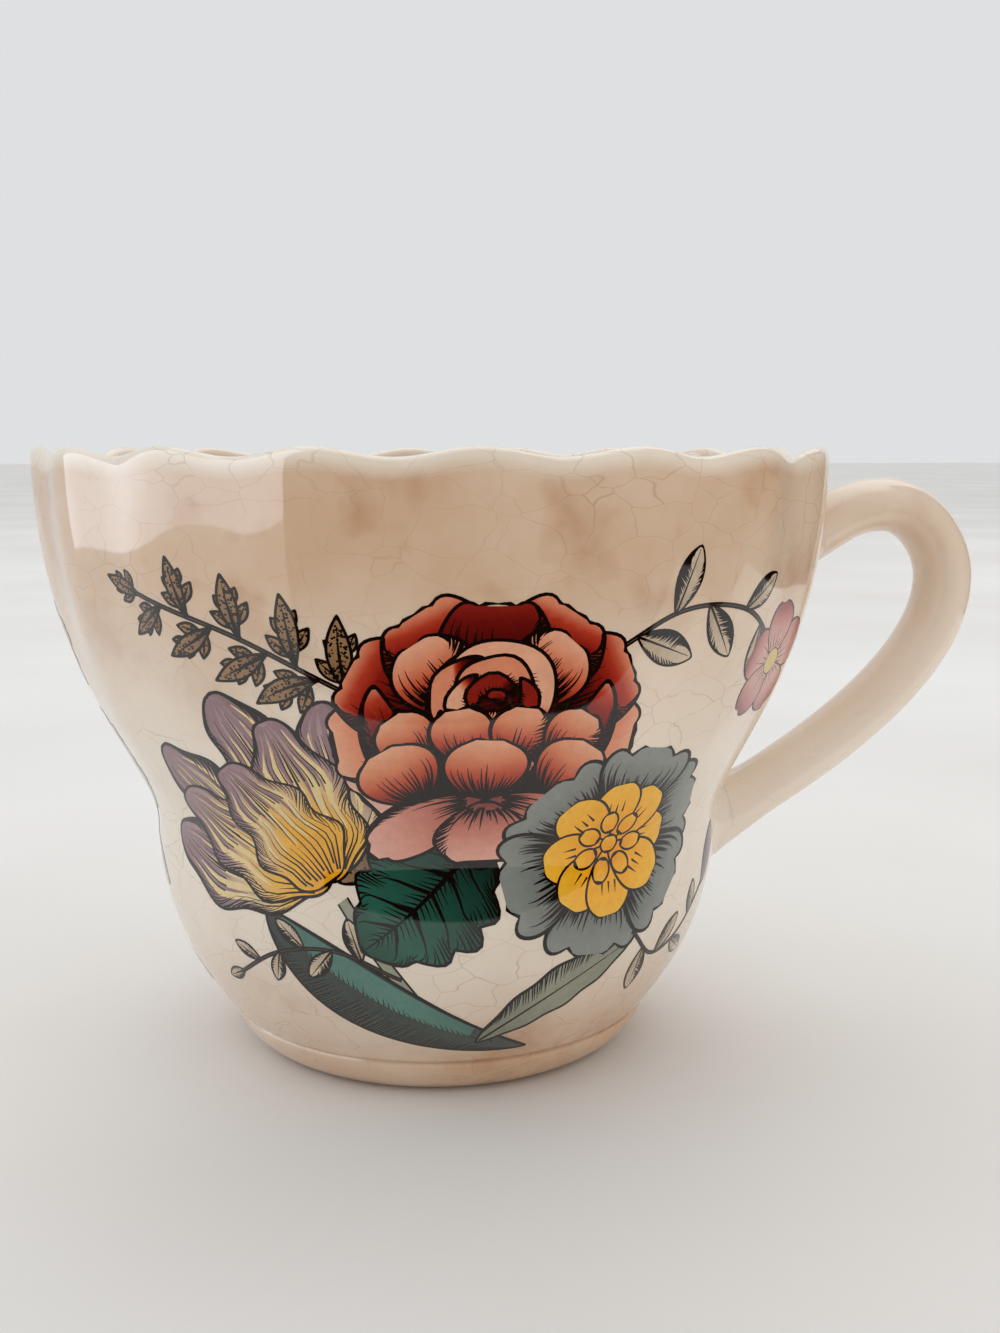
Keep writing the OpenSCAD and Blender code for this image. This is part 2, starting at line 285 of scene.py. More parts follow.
def radiusAt(z):
    return alongArc(arcAt(z))[0]


# ------- pieces

def meshObject(name, mesh, material):
    made = bpy.data.meshes.new(name)
    mesh.to_mesh(made)
    mesh.free()
    thing = bpy.data.objects.new(name, made)
    bpy.context.collection.objects.link(thing)
    made.materials.append(material)
    return thing


def finishPiece(name, mesh, material, replaced):
    piece = meshObject(name, mesh, material)
    piece.data.shade_smooth()
    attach(piece, "root")
    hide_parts(*replaced)
    return piece


def spunProfile(points, steps):
    mesh = bmesh.new()
    verts = [mesh.verts.new((p[0] * mm, 0, p[1] * mm)) for p in points]
    edges = [mesh.edges.new(pair) for pair in zip(verts, verts[1:])]
    bmesh.ops.spin(mesh, geom=verts + edges, cent=(0, 0, 0), axis=(0, 0, 1), angle=tau,
                   steps=steps, use_merge=True)
    bmesh.ops.remove_doubles(mesh, verts=mesh.verts, dist=1e-7)
    bmesh.ops.recalc_face_normals(mesh, faces=mesh.faces)
    return mesh


def wallAt(z, shape):
    grown = smoothStep((lipHeight - z) / (shape["thinShare"] * (lipHeight - shape["waistHeight"])))
    return shape["lipThickness"] + (shape["wallThickness"] - shape["lipThickness"]) * grown


def bowlProfile(shape):
    lip = shape["lipThickness"] / 2
    lipArc = [(rimRadius - lip + lip * cos(a), lipHeight + lip * sin(a))
              for a in (pi * i / 12 for i in range(1, 12))]
    floor = footHeight + shape["floorThickness"]
    inner = [p - wallAt(p.y, shape) * outerNormals[i] for i, p in enumerate(outerLine)]
    inner = [p for p in inner if p.y > floor + shape["cornerRise"]][::-1]
    downhill = (inner[-1] - inner[-2]).normalized()
    pull = (inner[-1].y - floor) / -downhill.y * shape["cornerPull"]
    bottom = curvePoints([inner[-1], inner[-1] + downhill * pull, (inner[-1].x * 0.6, floor), (0, floor)], 24)
    under = [(0, footHeight), (footTopRadius * 0.5, footHeight), (footTopRadius - 0.3, footHeight)]
    return under + outerLine + lipArc + inner + bottom[1:]


def makeBowl(shape):
    mesh = spunProfile(bowlProfile(shape), shape["steps"])
    lipLayer = mesh.verts.layers.float.new("lip")
    for vert in mesh.verts:
        x, y, z = vert.co / mm
        radius = hypot(x, y)
        vert[lipLayer] = smoothStep((z - lipHeight + shape["lipZone"]) / shape["lipFade"])
        if z > shape["waistHeight"]:
            vert.co = fluted(radius, z, atan2(x, -y)) * mm
    return finishPiece("bowl_body", mesh, bowlGlaze, ["bowl"])


makeBowl(bowlShape)
print("bowl made")

footShape = {
    "baseWidth": 2.4, "flare": 4.2, "innerSlope": 0.8, "edgeRadius": 0.5, "crease": 0.22,
}


def makeFootRing(shape):
    baseRadius = footTopRadius - shape["flare"]
    inner = baseRadius - shape["baseWidth"]
    edge = shape["edgeRadius"]
    outside = curvePoints([(baseRadius, 0), (baseRadius + shape["flare"] * 0.55, footHeight * 0.18),
                           (footTopRadius - 0.2, footHeight * 0.62), (footTopRadius, footHeight)], 16)
    # the turned crease where the ring meets the bowl
    outside[-1] = Vector((footTopRadius - shape["crease"] * 2, footHeight + 0.02))
    outside[-2] = outside[-2] - Vector((shape["crease"] * 0.3, 0))
    outline = [(inner + edge, 0), (baseRadius - edge * 0.4, 0)] + outside[1:]
    outline += [(inner + shape["innerSlope"], footHeight), (inner + 0.2, edge * 1.6),
                (inner + edge * 0.3, edge * 0.3)]
    outline.append(outline[0])
    return finishPiece("foot_ring_body", spunProfile(outline, 240), bowlGlaze, ["foot_ring"])


makeFootRing(footShape)
print("foot ring made")

# ------- handle: an oval strap swept round its loop, with roots that swell onto the bowl

handleShape = {
    "thickness": 6.9, "width": 9.6, "upperRootThickness": 8.6, "lowerRootThickness": 11.0, "rootWidth": 12.4,
    "upperRootDrop": 12.0, "lowerRootDrop": 3.4, "rootLength": 9.0, "uprightLength": 8.0,
    "topShare": 0.57, "topDrop": 1.13,      # where the loop's top turns down
    "sides": 48,
    "rootSink": 0.9,       # how far the strap reaches into the bowl's wall
    "slipSpread": 1.7, "slipClimb": 1.8, "slipSteps": 7,
}


def handleLine(shape):
    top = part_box("handle")[1]
    sideX = top[0] / mm - shape["thickness"] / 2
    topZ = top[2] / mm - shape["thickness"] / 2
    upperZ = cupHeight - shape["upperRootDrop"]
    lowerZ = bowlShape["waistHeight"] - shape["lowerRootDrop"]
    side = pi / 2
    upper = Vector((fluted(radiusAt(upperZ), upperZ, side).x, upperZ))
    lower = Vector((fluted(radiusAt(lowerZ), lowerZ, side).x, lowerZ))
    topX = upper.x + (sideX - upper.x) * shape["topShare"]
    sideZ = topZ - (sideX - topX) * shape["topDrop"]
    loopHigh, loopWide = sideZ - lowerZ, sideX - lower.x
    rise = [upper, upper + Vector((4.2, 2.6)), (topX - 4.6, topZ), (topX, topZ)]
    bend = [(topX, topZ), (topX + (sideX - topX) * 0.55, topZ),
            (sideX, sideZ + (topZ - sideZ) * 0.48), (sideX, sideZ)]
    sweep = [(sideX, sideZ), (sideX, sideZ - loopHigh * 0.36),
             lower + Vector((loopWide * 0.50, loopHigh * 0.27)), lower]
    return curvePoints(rise, 26, last=False) + curvePoints(bend, 26, last=False) + curvePoints(sweep, 60)


def landed(y, z, lift=0.0):  # the point on the bowl's outside, beside the handle, at this height
    r = radiusAt(z)
    for _ in range(3):
        x = sqrt(max(r * r - y * y, 1.0))
        r = radiusAt(z) - bowlShape["fluteDepth"] * (1 - crest(atan2(x, -y))) * fluteFade(z)
    r += lift
    return Vector((sqrt(max(r * r - y * y, 1.0)), y, z))


def handleSections(shape):
    line = handleLine(shape)
    run = [0.0]
    for before, after in zip(line, line[1:]):
        run.append(run[-1] + (after - before).length)
    total = run[-1]

    def rootShare(d):
        return max(0.0, 1 - d / shape["rootLength"]) ** 2

    rings = []
    for i, middle in enumerate(line):
        d = run[i]
        inward = Vector((0, -1)) if d < total / 2 else Vector((0, 1))
        square = smoothStep(min(d, total - d) / shape["uprightLength"])
        across = (lineNormal(line, i) * square + inward * (1 - square)).normalized()
        high = shape["thickness"] + (shape["upperRootThickness"] - shape["thickness"]) * rootShare(d)
        high += (shape["lowerRootThickness"] - shape["thickness"]) * rootShare(total - d)
        wide = shape["width"] + (shape["rootWidth"] - shape["width"]) * (rootShare(d) + rootShare(total - d))
        ring = []
        for k in range(shape["sides"]):
            a = -tau * k / shape["sides"]
            p = middle + across * (high / 2 * cos(a))
            ring.append(Vector((p.x, wide / 2 * sin(a), p.y)))
        rings.append(ring)
    for end in (0, -1):
        rings[end] = [landed(p.y, p.z) for p in rings[end]]
    return rings, run


def tubeMesh(rings, closed=False):
    mesh = bmesh.new()
    count = len(rings[0])
    first = bmesh.ops.create_circle(mesh, cap_ends=False, segments=count, radius=1.0)["verts"]
    for vert, p in zip(first, rings[0]):
        vert.co = p * mm
    edges = firstEdges = list(mesh.edges)
    for ring in rings[1:]:
        grown = bmesh.ops.extrude_edge_only(mesh, edges=edges)["geom"]
        verts = [g for g in grown if isinstance(g, bmesh.types.BMVert)]
        for vert, p in zip(verts, ring):
            vert.co = p * mm
        edges = [g for g in grown if isinstance(g, bmesh.types.BMEdge) and all(v in verts for v in g.verts)]
    if closed:
        bmesh.ops.bridge_loops(mesh, edges=firstEdges + edges)
    return mesh


handleRings, handleRun = handleSections(handleShape)


def makeHandle(shape):
    sunk = Vector((shape["rootSink"], 0, 0))
    first, last = ([p - sunk for p in handleRings[end]] for end in (0, -1))
    mesh = tubeMesh([first] + handleRings + [last])
    bmesh.ops.holes_fill(mesh, edges=[e for e in mesh.edges if e.is_boundary], sides=0)
    bmesh.ops.triangulate(mesh, faces=[f for f in mesh.faces if len(f.verts) > 4])
    bmesh.ops.recalc_face_normals(mesh, faces=mesh.faces)
    return finishPiece("loop_handle", mesh, handleGlaze, ["handle"])


def makeSlip(name, shape, rings, run):
    end = rings[0]
    middle = sum(end, Vector()) / len(end)
    climbed = next(i for i, d in enumerate(run) if d >= shape["slipClimb"])
    outer = []
    for p in end:
        away = Vector((0, p.y - middle.y, p.z - middle.z))
        away = away / away.length * shape["slipSpread"]
        outer.append(landed(p.y + away.y, p.z + away.z, -0.12))
    onHandle = rings[climbed]
    skin = []
    for s in range(shape["slipSteps"] + 1):
        t = s / shape["slipSteps"]
        ring = []
        for k, root in enumerate(end):
            a, b, c = outer[k], root, onHandle[k]
            ring.append(a * (1 - t) ** 2 + b * (2 * t * (1 - t)) + c * t ** 2)
        skin.append(ring)
    core = [p.lerp(middle, 0.16) for p in onHandle]
    under = [p.lerp(middle, 0.16) - Vector((0.5, 0, 0)) for p in end]
    mesh = tubeMesh(skin + [core, under], closed=True)
    bmesh.ops.recalc_face_normals(mesh, faces=mesh.faces)
    return finishPiece(name + "_fillet", mesh, handleGlaze, [name])


makeHandle(handleShape)
makeSlip("upper_slip_joint", handleShape, handleRings, handleRun)
backRun = [handleRun[-1] - d for d in reversed(handleRun)]
makeSlip("lower_slip_joint", handleShape, handleRings[::-1], backRun)
print("handle made")

# ------- printed flowers: a flat sheet of washes and engraved lines, wrapped round the bowl

printLook = {
    "sheetRadius": 40.0,   # the sheet's own radius, near the bowl's middle
    "lift": 0.035,         # how far the film stands off the clay
    "depth": 0.06,         # how far it reaches into it
    "grid": 0.8,           # the widest gap between its points
    "outlineStep": 0.42, "stemStep": 0.6,
    "outline": 0.36, "dot": 0.13,
    "blotScale": 900.0, "crazing": 0.08,
}
ink = "#140a07"


def paletteOf(*pairs):
    stops = [(t, Vector(linear(c)[:3])) for t, c in pairs]

    def colour(t):
        t = min(max(t, stops[0][0]), stops[-1][0])
        for (a, ca), (b, cb) in zip(stops, stops[1:]):
            if t <= b:
                return ca.lerp(cb, (t - a) / (b - a))
        return stops[-1][1]
    return colour


def onSheet(anchor, p):
    arc = arcAt(anchor[1]) + p[1]
    return Vector((printLook["sheetRadius"] * (radians(anchor[0]) + p[0] / alongArc(arc)[0]), arc))


def spot(angle, height):  # a place on the sheet, from its angle and height on the cup
    return Vector((printLook["sheetRadius"] * radians(angle), arcAt(height)))


def wrapped(p, lift):
    r, z, n = alongArc(p.y)
    return fluted(r + n.x * lift, z + n.y * lift, p.x / printLook["sheetRadius"])


def wrappedNormal(p):
    e = 0.5
    across = wrapped(p + Vector((e, 0)), 0) - wrapped(p - Vector((e, 0)), 0)
    up = wrapped(p + Vector((0, e)), 0) - wrapped(p - Vector((0, e)), 0)
    return across.cross(up).normalized()


def areaOf(points):
    return sum(a.x * b.y - b.x * a.y for a, b in zip(points, points[1:] + points[:1])) / 2


def addShape(sheet, piece, points, paint):
    if areaOf(points) < 0:
        points = points[::-1]
    sheet.append((piece, points, paint))


def plain(colour):
    fixed = Vector(linear(colour)[:3])
    return lambda p: fixed


def swollen(points, by):
    if areaOf(points) < 0:
        points = points[::-1]
    out = []
    for before, p, after in zip(points[-1:] + points[:-1], points, points[1:] + points[:1]):
        d = after - before
        if d.length > 1e-6:
            d.normalize()
            p = p + Vector((d.y, -d.x)) * by
        out.append(p)
    return out


def smoothPath(points):
    out = []
    ends = [points[0] * 2 - points[1]] + list(points) + [points[-1] * 2 - points[-2]]
    for a, b, c, d in zip(ends, ends[1:], ends[2:], ends[3:]):
        count = max(2, ceil((c - b).length / printLook["stemStep"]))
        for i in range(count):
            t = i / count
            out.append(0.5 * (2 * b + (c - a) * t + (2 * a - 5 * b + 4 * c - d) * t * t
                              + (3 * b - a - 3 * c + d) * t ** 3))
    out.append(Vector(points[-1]))
    return out


def stroke(sheet, piece, line, widths, colour=ink):
    left, right = [], []
    for i, p in enumerate(line):
        t = i / (len(line) - 1)
        d = line[min(i + 1, len(line) - 1)] - line[max(i - 1, 0)]
        if d.length < 1e-6:
            return
        d.normalize()
        place = t * (len(widths) - 1)
        k = min(int(place), len(widths) - 2)
        half = (widths[k] + (widths[k + 1] - widths[k]) * (place - k)) / 2
        left.append(p + Vector((-d.y, d.x)) * half)
        right.append(p + Vector((d.y, -d.x)) * half)
    addShape(sheet, piece, right + left[::-1], plain(colour))


def petalFlow(base, angle, length, width, bend=0.0, skew=1.4, full=0.6, notch=0.0, lobes=0, lobe=0.0,
              wave=0.0, waves=3, phase=0.0, teeth=0, tooth=0.0):
    turn = radians(bend)
    start = radians(angle) - turn / 2

    def flow(u, f):
        a = start + turn * u
        if abs(turn) < 1e-3:
            x, y = base[0] + length * u * cos(a), base[1] + length * u * sin(a)
        else:
            k = length / turn
            x = base[0] + k * (sin(a) - sin(start))
            y = base[1] - k * (cos(a) - cos(start))
        half = width / 2 * max(0.0, sin(pi * min(max(u, 0), 1) ** skew)) ** full
        half *= 1 + wave * sin(waves * tau * u + phase + (1.7 if f < 0 else 0))
        if teeth:
            half *= 1 + tooth * (2 * abs(sin(pi * u * teeth)) - 1) * smoothStep(u / 0.1)
        side = f * half
        back = notch * exp(-(side / (0.11 * width)) ** 2)
        if lobes:
            back += lobe * (1 - abs(cos(pi * lobes * side / width + 0.35 * sin(phase))))
        back *= smoothStep((u - 0.55) / 0.4)
        return (x - sin(a) * side - cos(a) * back, y + cos(a) * side - sin(a) * back)
    return flow


def petalOutline(anchor, flow, span=(0.0, 1.0), sides=(-1.0, 1.0), length=12.0, inset=0.0):
    count = max(14, ceil(length / printLook["outlineStep"]))
    us = [span[0] + (span[1] - span[0]) * (1 - cos(pi * i / count)) / 2 for i in range(count + 1)]
    right, left = [], []
    for u in us:  # inside the line by the inset, and not at all where the petal is narrower than the line
        a, b = Vector(flow(u, -1)), Vector(flow(u, 1))
        half = (b - a).length / 2
        room = min(u, 1 - u) * length
        share = 1 - inset / max(half, 1e-6)
        if inset and (share < 0.06 or room < inset):
            continue
        right.append(onSheet(anchor, flow(u, sides[0] * share)))
        left.append(onSheet(anchor, flow(u, sides[1] * share)))
    left.reverse()
    out = [right[0]]
    for p in right[1:] + left:
        if (p - out[-1]).length > 0.02:
            out.append(p)
    if (out[0] - out[-1]).length < 0.02:
        out.pop()
    return out


def washPaint(anchor, flow, colour, across=0.0, lean=0.0):
    start, end = onSheet(anchor, flow(0, 0)), onSheet(anchor, flow(1, 0))
    along = end - start
    size = along.length
    along.normalize()
    half = max((onSheet(anchor, flow(0.55, 1)) - onSheet(anchor, flow(0.55, -1))).length / 2, 0.1)

    def paint(p):
        u = (p - start).dot(along) / size
        f = (along.x * (p.y - start.y) - along.y * (p.x - start.x)) / half
        return colour(u + across * abs(f) + lean * f)
    return paint


def petal(sheet, piece, anchor, colour, line=None, across=0.0, lean=0.0, lineColour=ink, **form):
    flow = petalFlow(**form)
    line = printLook["outline"] if line is None else line
    outline = petalOutline(anchor, flow, length=form["length"])
    addShape(sheet, piece, swollen(outline, line / 2), plain(lineColour))
    addShape(sheet, piece, petalOutline(anchor, flow, length=form["length"], inset=line * 0.55),
             washPaint(anchor, flow, flowerColours[colour], across, lean))
    return sheet, piece, anchor, flow


# The next functions draw on a petal or leaf, from its foot (u = 0) to its tip (u = 1) and across it (f = -1 to 1)
def halfWash(drawn, colour, span, sides):
    sheet, piece, anchor, flow = drawn
    outline = petalOutline(anchor, flow, span, sides)
    addShape(sheet, piece, outline, washPaint(anchor, flow, flowerColours[colour]))


def flowStroke(drawn, start, end, widths, colour=ink):
    sheet, piece, anchor, flow = drawn
    (u0, f0), (u1, f1) = start, end
    count = 4 if abs(u1 - u0) < 0.3 else 7
    line = [onSheet(anchor, flow(u0 + (u1 - u0) * i / count, f0 + (f1 - f0) * i / count)) for i in range(count + 1)]
    stroke(sheet, piece, line, widths, colour)


def baseHatch(drawn, count, reach, start, width, spread=0.85, colour=ink):
    for k in range(count):
        f = spread * (2 * (k + 0.5) / count - 1) + rng.uniform(-0.04, 0.04)
        end = rng.uniform(*reach)
        flowStroke(drawn, (start + rng.uniform(0, 0.05), f), (end, f), (width * 1.6, width, 0.05), colour)


def edgeHatch(drawn, count, side, span, depth, slant, width):
    for k in range(count):
        u = span[0] + (span[1] - span[0]) * (k + rng.uniform(0.3, 0.7)) / count
        deep = depth * rng.uniform(0.7, 1.1) * sin(pi * (k + 0.7) / (count + 0.4)) ** 0.5
        flowStroke(drawn, (u, 0.96 * side), (u - slant, (0.96 - deep) * side), (width * 1.3, width, 0.05))


def stipple(drawn, count):
    sheet, piece, anchor, flow = drawn
    for _ in range(count):
        p = onSheet(anchor, flow(rng.uniform(0.12, 0.9), rng.uniform(-0.85, 0.85)))
        r = printLook["dot"] * rng.uniform(0.75, 1.25)
        turn = rng.uniform(0, 1)
        addShape(sheet, piece, [p + Vector((cos(a), sin(a))) * r
                                for a in (turn + tau * k / 5 for k in range(5))], plain(ink))


def gridPoints(shapes, step):
    oddOffset = (0.211, 0.137)  # keeps the grid off the corners of the shapes
    lowX, highX = (f(p.x for _, points, _ in shapes for p in points) for f in (min, max))
    lowY, highY = (f(p.y for _, points, _ in shapes for p in points) for f in (min, max))
    out = []
    row = 0
    y = lowY + oddOffset[1]
    while y < highY:
        x = lowX + oddOffset[0] + (row % 2) * step / 2
        while x < highX:
            out.append(Vector((x, y)))
            x += step
        y += step * 0.866  # rows of even triangles
        row += 1
    return out


def inside(p, points):
    hit = False
    b = points[-1]
    for a in points:
        if (a.y > p.y) != (b.y > p.y) and p.x < (b.x - a.x) * (p.y - a.y) / (b.y - a.y) + a.x:
            hit = not hit
        b = a
    return hit


def printMaterial(name):
    material, tree, shader = newMaterial(name, {"Roughness": glazeLook["roughness"], "IOR": glazeLook["ior"]})
    place = node(tree, "TexCoord").outputs["Object"]
    washes = node(tree, "Attribute", attribute_name="washes").outputs["Color"]
    blot = node(tree, "TexNoise", {"Vector": place, "Scale": printLook["blotScale"], "Detail": 3.0,
                                   "Roughness": 0.7}).outputs["Fac"]
    uneven = node(tree, "ValToRGB", {"Fac": blot}, [(0.3, 0.86), (0.7, 1.0)]).outputs[0]
    tint = node(tree, "Mix", {0: 1.0, 6: washes, 7: uneven}, data_type="RGBA", blend_type="MULTIPLY").outputs[2]
    craze = crazeLines(tree, place, glazeLook, printLook["crazing"])
    tint = node(tree, "Mix", {0: craze, 6: tint, 7: linear(glazeLook["crack"])}, data_type="RGBA").outputs[2]
    tree.links.new(tint, shader.inputs["Base Color"])
    return material


def printSheet(shapes, replaced, material, look):
    vertices, faces = [], []
    for _, points, _ in shapes:
        faces.append(list(range(len(vertices), len(vertices) + len(points))))
        vertices += points
    vertices += gridPoints(shapes, look["grid"])
    flat, _, triangles, _, _, origins = delaunay_2d_cdt(vertices, [], faces, 1, 1e-5, True)
    flat = [Vector(p) for p in flat]
    groups = {}
    boxes = [(min(p.x for p in points), max(p.x for p in points), min(p.y for p in points), max(p.y for p in points))
             for _, points, _ in shapes]
    for triangle, origin in zip(triangles, origins):
        middle = (flat[triangle[0]] + flat[triangle[1]] + flat[triangle[2]]) / 3
        for top in sorted(origin, reverse=True):
            low, high, under, over = boxes[top]
            if low <= middle.x <= high and under <= middle.y <= over and inside(middle, shapes[top][1]):
                groups.setdefault(shapes[top][0], []).append((triangle, top))
                break
    normals = {}
    for name, kept in groups.items():
        mesh = bmesh.new()
        colourLayer = mesh.loops.layers.float_color.new("washes")
        flatLayer = mesh.verts.layers.float_vector.new("flat")
        topLayer = mesh.faces.layers.int.new("top")
        made = {}
        for triangle, top in kept:
            for i in triangle:
                if i not in made:
                    made[i] = mesh.verts.new(wrapped(flat[i], look["lift"]) * mm)
                    made[i][flatLayer] = (flat[i].x, flat[i].y, 0)
            face = mesh.faces.new([made[i] for i in triangle])
            face[topLayer] = 1
            for loop, i in zip(face.loops, triangle):
                loop[colourLayer] = (*shapes[top][2](flat[i]), 1)
        first = set(mesh.faces)
        grown = bmesh.ops.extrude_face_region(mesh, geom=list(mesh.faces))["geom"]
        for item in grown:
            if isinstance(item, bmesh.types.BMVert):
                p = item[flatLayer]
                item.co = wrapped(Vector((p.x, p.y)), -look["depth"]) * mm
        for face in mesh.faces:
            face[topLayer] = 1 if face in first else 0
            face.smooth = True
        bmesh.ops.recalc_face_normals(mesh, faces=mesh.faces)
        isTop = [face[topLayer] for face in mesh.faces]
        spots = [[Vector((loop.vert[flatLayer].x, loop.vert[flatLayer].y)) for loop in face.loops]
                 for face in mesh.faces]
        piece = finishPiece(name, mesh, material, replaced)
        custom = []
        for top, corners in zip(isTop, spots):
            for p in corners:
                key = (round(p.x, 4), round(p.y, 4))
                if top and key not in normals:
                    normals[key] = wrappedNormal(p)
                custom.append(normals[key] if top else Vector((0, 0, 0)))
        piece.data.normals_split_custom_set(custom)
        print("  ", name, len(piece.data.polygons))


bouquetGlaze = printMaterial("transferPrintUnderGlaze")
sprayGlaze = printMaterial("brownTransferPrint")
rng = random.Random(11)

flowerColours = {name: paletteOf(*stops) for name, stops in {
    "roseDeep": [(0.35, "#180403"), (0.65, "#3d0807"), (0.88, "#6e120d"), (1.0, "#8c2016")],
    "roseDark": [(0.4, "#1f0503"), (0.66, "#550c08"), (0.82, "#8e1b11"), (0.92, "#bb3c25"), (1.0, "#df8c6a")],
    "roseSalmon": [(0.35, "#45100a"), (0.52, "#9c2a19"), (0.68, "#cb5a3b"), (0.84, "#e08c69"), (1.0, "#e9ab8b")],
    "roseCup": [(0.0, "#3a0906"), (0.22, "#8a2014"), (0.45, "#c04d30"), (0.7, "#dc8660"), (1.0, "#e9ab89")],
    "roseDusty": [(0.1, "#87403a"), (0.35, "#c17162"), (0.65, "#dc9886"), (1.0, "#e8b3a2")],
    "tulip": [(0.0, "#e8a21c"), (0.45, "#e9b955"), (0.66, "#dcc093"), (0.84, "#b09392"), (1.15, "#70525b")],
    "tulipFront": [(0.0, "#f0a312"), (0.5, "#efb53f"), (0.75, "#dcb882"), (0.95, "#ab8b8c"), (1.15, "#7a5b64")],
    "anemone": [(0.3, "#1d1f1d"), (0.5, "#545852"), (0.72, "#737872"), (1.0, "#8b908a")],
    "yolk": [(0.0, "#f09a06"), (0.5, "#f8ad14"), (1.0, "#fabd38")],
    "darkLeaf": [(0.0, "#0e1f1a"), (0.4, "#1f4a3d"), (0.75, "#2c6150"), (1.0, "#1d4438")],
    "bladeLow": [(0.0, "#46504b"), (0.5, "#3b443f"), (1.0, "#363f3b")],
    "bladeHigh": [(0.0, "#43655c"), (0.5, "#5a897d"), (1.0, "#4a6d64")],
    "paleLeaf": [(0.0, "#7f8170"), (0.5, "#989a88"), (1.0, "#8a8c79")],
    "brownLeaf": [(0.0, "#241912"), (0.4, "#66503c"), (1.0, "#97795d")],
    "sprigLeaf": [(0.0, "#62452d"), (0.5, "#94714d"), (1.0, "#a07c57")],
    "bareLeaf": [(0.0, "#b09a80"), (1.0, "#d6c3aa")],
    "pink": [(0.0, "#dcb3a4"), (0.55, "#d39d92"), (0.85, "#b9706b"), (1.0, "#8c4745")],
    "bud": [(0.0, "#5b2a29"), (0.6, "#7d3f3d"), (1.0, "#8f5a55")],
}.items()}


def rose(sheet, anchor):
    def one(piece, colour, hatch=22, start=0.4, reach=(0.58, 0.84), side=0, deep=0.5, **form):
        bend = form.pop("bend", rng.uniform(-10, 10))
        drawn = petal(sheet, piece, anchor, colour, line=0.42, bend=bend, **form)
        baseHatch(drawn, hatch, reach=reach, start=start, width=0.24)
        if side:
            edgeHatch(drawn, int(form["length"] * 1.8), side, (0.3, 0.92), deep, 0.1, 0.22)

    ring = [90 + 360 * k / 11 for k in range(11)]  # an even ring, with the upper petals over the lower ones
    for angle in sorted(ring, key=lambda a: round(sin(radians(a)), 4)):
        rise, run = sin(radians(angle)), cos(radians(angle))
        colour = ("roseDusty" if rise < -0.3 else "roseSalmon" if rise < 0.1
                  else "roseDark" if rise < 0.9 else "roseDeep")
        one("rose_outer_petals", colour, side=1 if run < 0 else -1, base=(0, 0), angle=angle,
            length=14.5 + 2.5 * abs(run), width=14 if rise < -0.3 else 11, skew=1.9, full=0.5, notch=1.2, lobes=3,
            lobe=1.0)
    for turn in (-1, 1):
        one("rose_cup_petals", "roseSalmon", side=turn, base=(1.5 * turn, 1.0), angle=90 - 38 * turn, length=11.0,
            width=8.5, skew=1.6, full=0.55, notch=0.8)
        one("rose_cup_petals", "roseDark", side=-turn, base=(2.4 * turn, -9.4), angle=90 - 33 * turn, length=18.0,
            width=5.6, skew=0.95, full=0.7, bend=62 * turn, start=0.1, reach=(0.3, 0.9), deep=0.7)
    heart = (0.0, 3.2)
    ball = [onSheet(anchor, (heart[0] + 6.5 * cos(a), heart[1] + 6.2 * sin(a)))
            for a in (tau * k / 60 for k in range(60))]
    addShape(sheet, "rose_heart", swollen(ball, 0.2), plain(ink))
    addShape(sheet, "rose_heart", ball, plain("#3a0907"))
    folds = [  # radius, place round the heart, sweep, width, colour
        (5.3, 60, 200, 3.2, "roseSalmon"), (5.0, 165, 120, 3.0, "roseDark"), (5.2, 250, 120, 3.2, "roseDark"),
        (3.7, 85, 170, 2.8, "roseDark"), (3.5, 195, 150, 2.4, "roseSalmon"), (3.6, 330, 150, 2.6, "roseDeep"),
        (2.1, 110, 190, 2.2, "roseDeep"), (2.0, 270, 170, 2.0, "roseDark"), (0.8, 60, 180, 1.5, "roseDeep"),
    ]
    for radius, place, sweep, width, colour in folds:
        begin = radians(place - sweep / 2)
        base = (heart[0] + radius * cos(begin), heart[1] + radius * sin(begin))
        drawn = petal(sheet, "rose_heart", anchor, colour, line=0.36, base=base, angle=place + 90,
                      length=radius * radians(sweep), width=width, bend=sweep, skew=1.0, full=0.8, lean=-0.5,
                      wave=0.12, waves=2.5)
        edgeHatch(drawn, max(6, int(radius * 6)), 1, (0.08, 0.92), 0.8, 0.04, 0.17)
    for count, drop, length, width in ((4, -4.2, 7.4, 6.4), (3, -9.2, 8.6, 8.8)):  # two even rows of cupped petals
        for k in range(count):
            place = 2 * k / (count - 1) - 1
            one("rose_cup_petals", "roseCup", hatch=15, start=0.05, reach=(0.3, 0.6), side=-1 if place > 0 else 0,
                base=(6.2 * place, drop), angle=90 - 36 * place, length=length, width=width, skew=1.2, full=0.6,
                notch=0.8, lobes=2, lobe=0.3, across=-0.08)
    for turn in (-1, 1, 0):
        one("rose_lower_petals", "roseDusty", hatch=12, start=0.1, reach=(0.25, 0.5), side=-1, deep=0.28,
            base=(0, -9.0), angle=270 + 56 * turn, length=14.0 if turn else 9.0, width=7.0 if turn else 10.0,
            skew=1.3, full=0.55, lobes=3, lobe=0.7, bend=-34 * turn)


